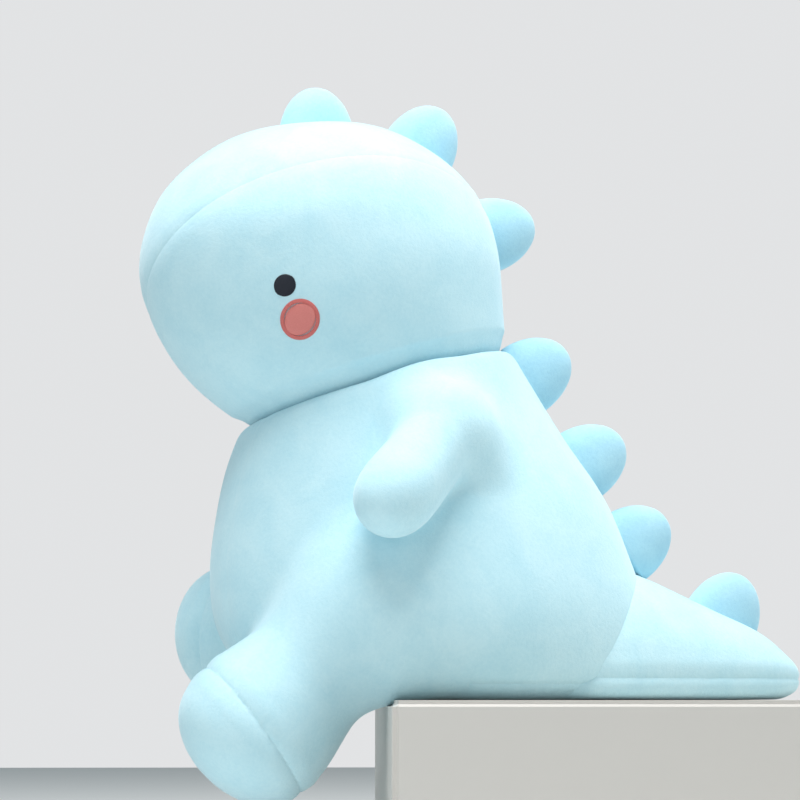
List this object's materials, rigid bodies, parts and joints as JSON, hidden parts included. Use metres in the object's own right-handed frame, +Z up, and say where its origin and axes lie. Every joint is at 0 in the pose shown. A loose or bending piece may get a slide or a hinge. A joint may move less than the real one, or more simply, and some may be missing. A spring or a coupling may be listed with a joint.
{
  "type": "stuffed dinosaur",
  "caption": "Sitting stuffed dinosaur, big oval head on a bell-shaped body, short arms, rounded legs, flat-based tail and soft rounded spikes down the back.",
  "frame": {"origin": "middle of the flat seat that the body rests on", "axes": "+Z up, the dinosaur faces -Y, its own left side is +X"},
  "size_m": [0.3554, 0.4606, 0.5004],
  "materials": {
    "plush_cloth": "short dense velvety pile, pale cyan, soft sheen",
    "sole_cloth": "the same short velvety pile on the domed soles",
    "spike_cloth": "short velvety pile, a slightly deeper light blue",
    "eye_thread": "satin-stitched embroidery thread, near black",
    "cheek_thread": "satin-stitched embroidery thread, coral pink with a darker rim",
    "stuffing": "white polyester fibre stuffing"
  },
  "bodies": {
    "torso": {"base_panel": "plush_cloth", "belly_panel": "plush_cloth", "body_side_left": "plush_cloth", "body_side_right": "plush_cloth", "body_stuffing": "stuffing", "spike_4_left": "spike_cloth", "spike_4_right": "spike_cloth", "spike_4_stuffing": "stuffing", "spike_5_left": "spike_cloth", "spike_5_right": "spike_cloth", "spike_5_stuffing": "stuffing", "spike_6_left": "spike_cloth", "spike_6_right": "spike_cloth", "spike_6_stuffing": "stuffing"},
    "head": {"cheek_left": "cheek_thread", "cheek_right": "cheek_thread", "crown_left": "plush_cloth", "crown_right": "plush_cloth", "eye_left": "eye_thread", "eye_right": "eye_thread", "head_side_left": "plush_cloth", "head_side_right": "plush_cloth", "head_stuffing": "stuffing", "spike_1_left": "spike_cloth", "spike_1_right": "spike_cloth", "spike_1_stuffing": "stuffing", "spike_2_left": "spike_cloth", "spike_2_right": "spike_cloth", "spike_2_stuffing": "stuffing", "spike_3_left": "spike_cloth", "spike_3_right": "spike_cloth", "spike_3_stuffing": "stuffing"},
    "tail": {"spike_7_left": "spike_cloth", "spike_7_right": "spike_cloth", "spike_7_stuffing": "stuffing", "tail_base": "plush_cloth", "tail_side_left": "plush_cloth", "tail_side_right": "plush_cloth", "tail_stuffing": "stuffing"},
    "leg_left": {"leg_left_inner": "plush_cloth", "leg_left_outer": "plush_cloth", "leg_left_stuffing": "stuffing", "sole_left": "sole_cloth"},
    "leg_right": {"leg_right_inner": "plush_cloth", "leg_right_outer": "plush_cloth", "leg_right_stuffing": "stuffing", "sole_right": "sole_cloth"},
    "arm_left": {"arm_left_inner": "plush_cloth", "arm_left_outer": "plush_cloth", "arm_left_stuffing": "stuffing"},
    "arm_right": {"arm_right_inner": "plush_cloth", "arm_right_outer": "plush_cloth", "arm_right_stuffing": "stuffing"}
  },
  "joints": [
    {"name": "head_nod", "type": "hinge", "parent": "torso", "child": "head", "pos_m": [0, -0.07379, 0.30871], "axis": [1, 0, 0], "range_deg": [-12, 12], "stiffness_Nm_per_rad": 4},
    {"name": "tail_wag", "type": "hinge", "parent": "torso", "child": "tail", "pos_m": [0, 0.13, -0.004], "axis": [0, 0, 1], "range_deg": [-18, 18], "stiffness_Nm_per_rad": 0.8},
    {"name": "leg_left_swing", "type": "hinge", "parent": "torso", "child": "leg_left", "pos_m": [0.084, -0.058, 0.052], "axis": [-0.9848, -0.1736, 0], "range_deg": [-10, 52], "stiffness_Nm_per_rad": 0.35, "springref_deg": 6.88},
    {"name": "leg_right_swing", "type": "hinge", "parent": "torso", "child": "leg_right", "pos_m": [-0.084, -0.058, 0.052], "axis": [-0.866, 0.5, 0], "range_deg": [-45, 20], "stiffness_Nm_per_rad": 0.35, "springref_deg": 9.74},
    {"name": "arm_left_swing", "type": "hinge", "parent": "torso", "child": "arm_left", "pos_m": [0.104, -0.001, 0.175], "axis": [-1, 0, 0], "range_deg": [-30, 45], "stiffness_Nm_per_rad": 0.12},
    {"name": "arm_right_swing", "type": "hinge", "parent": "torso", "child": "arm_right", "pos_m": [-0.104, -0.001, 0.175], "axis": [-1, 0, 0], "range_deg": [-30, 45], "stiffness_Nm_per_rad": 0.12}
  ]
}
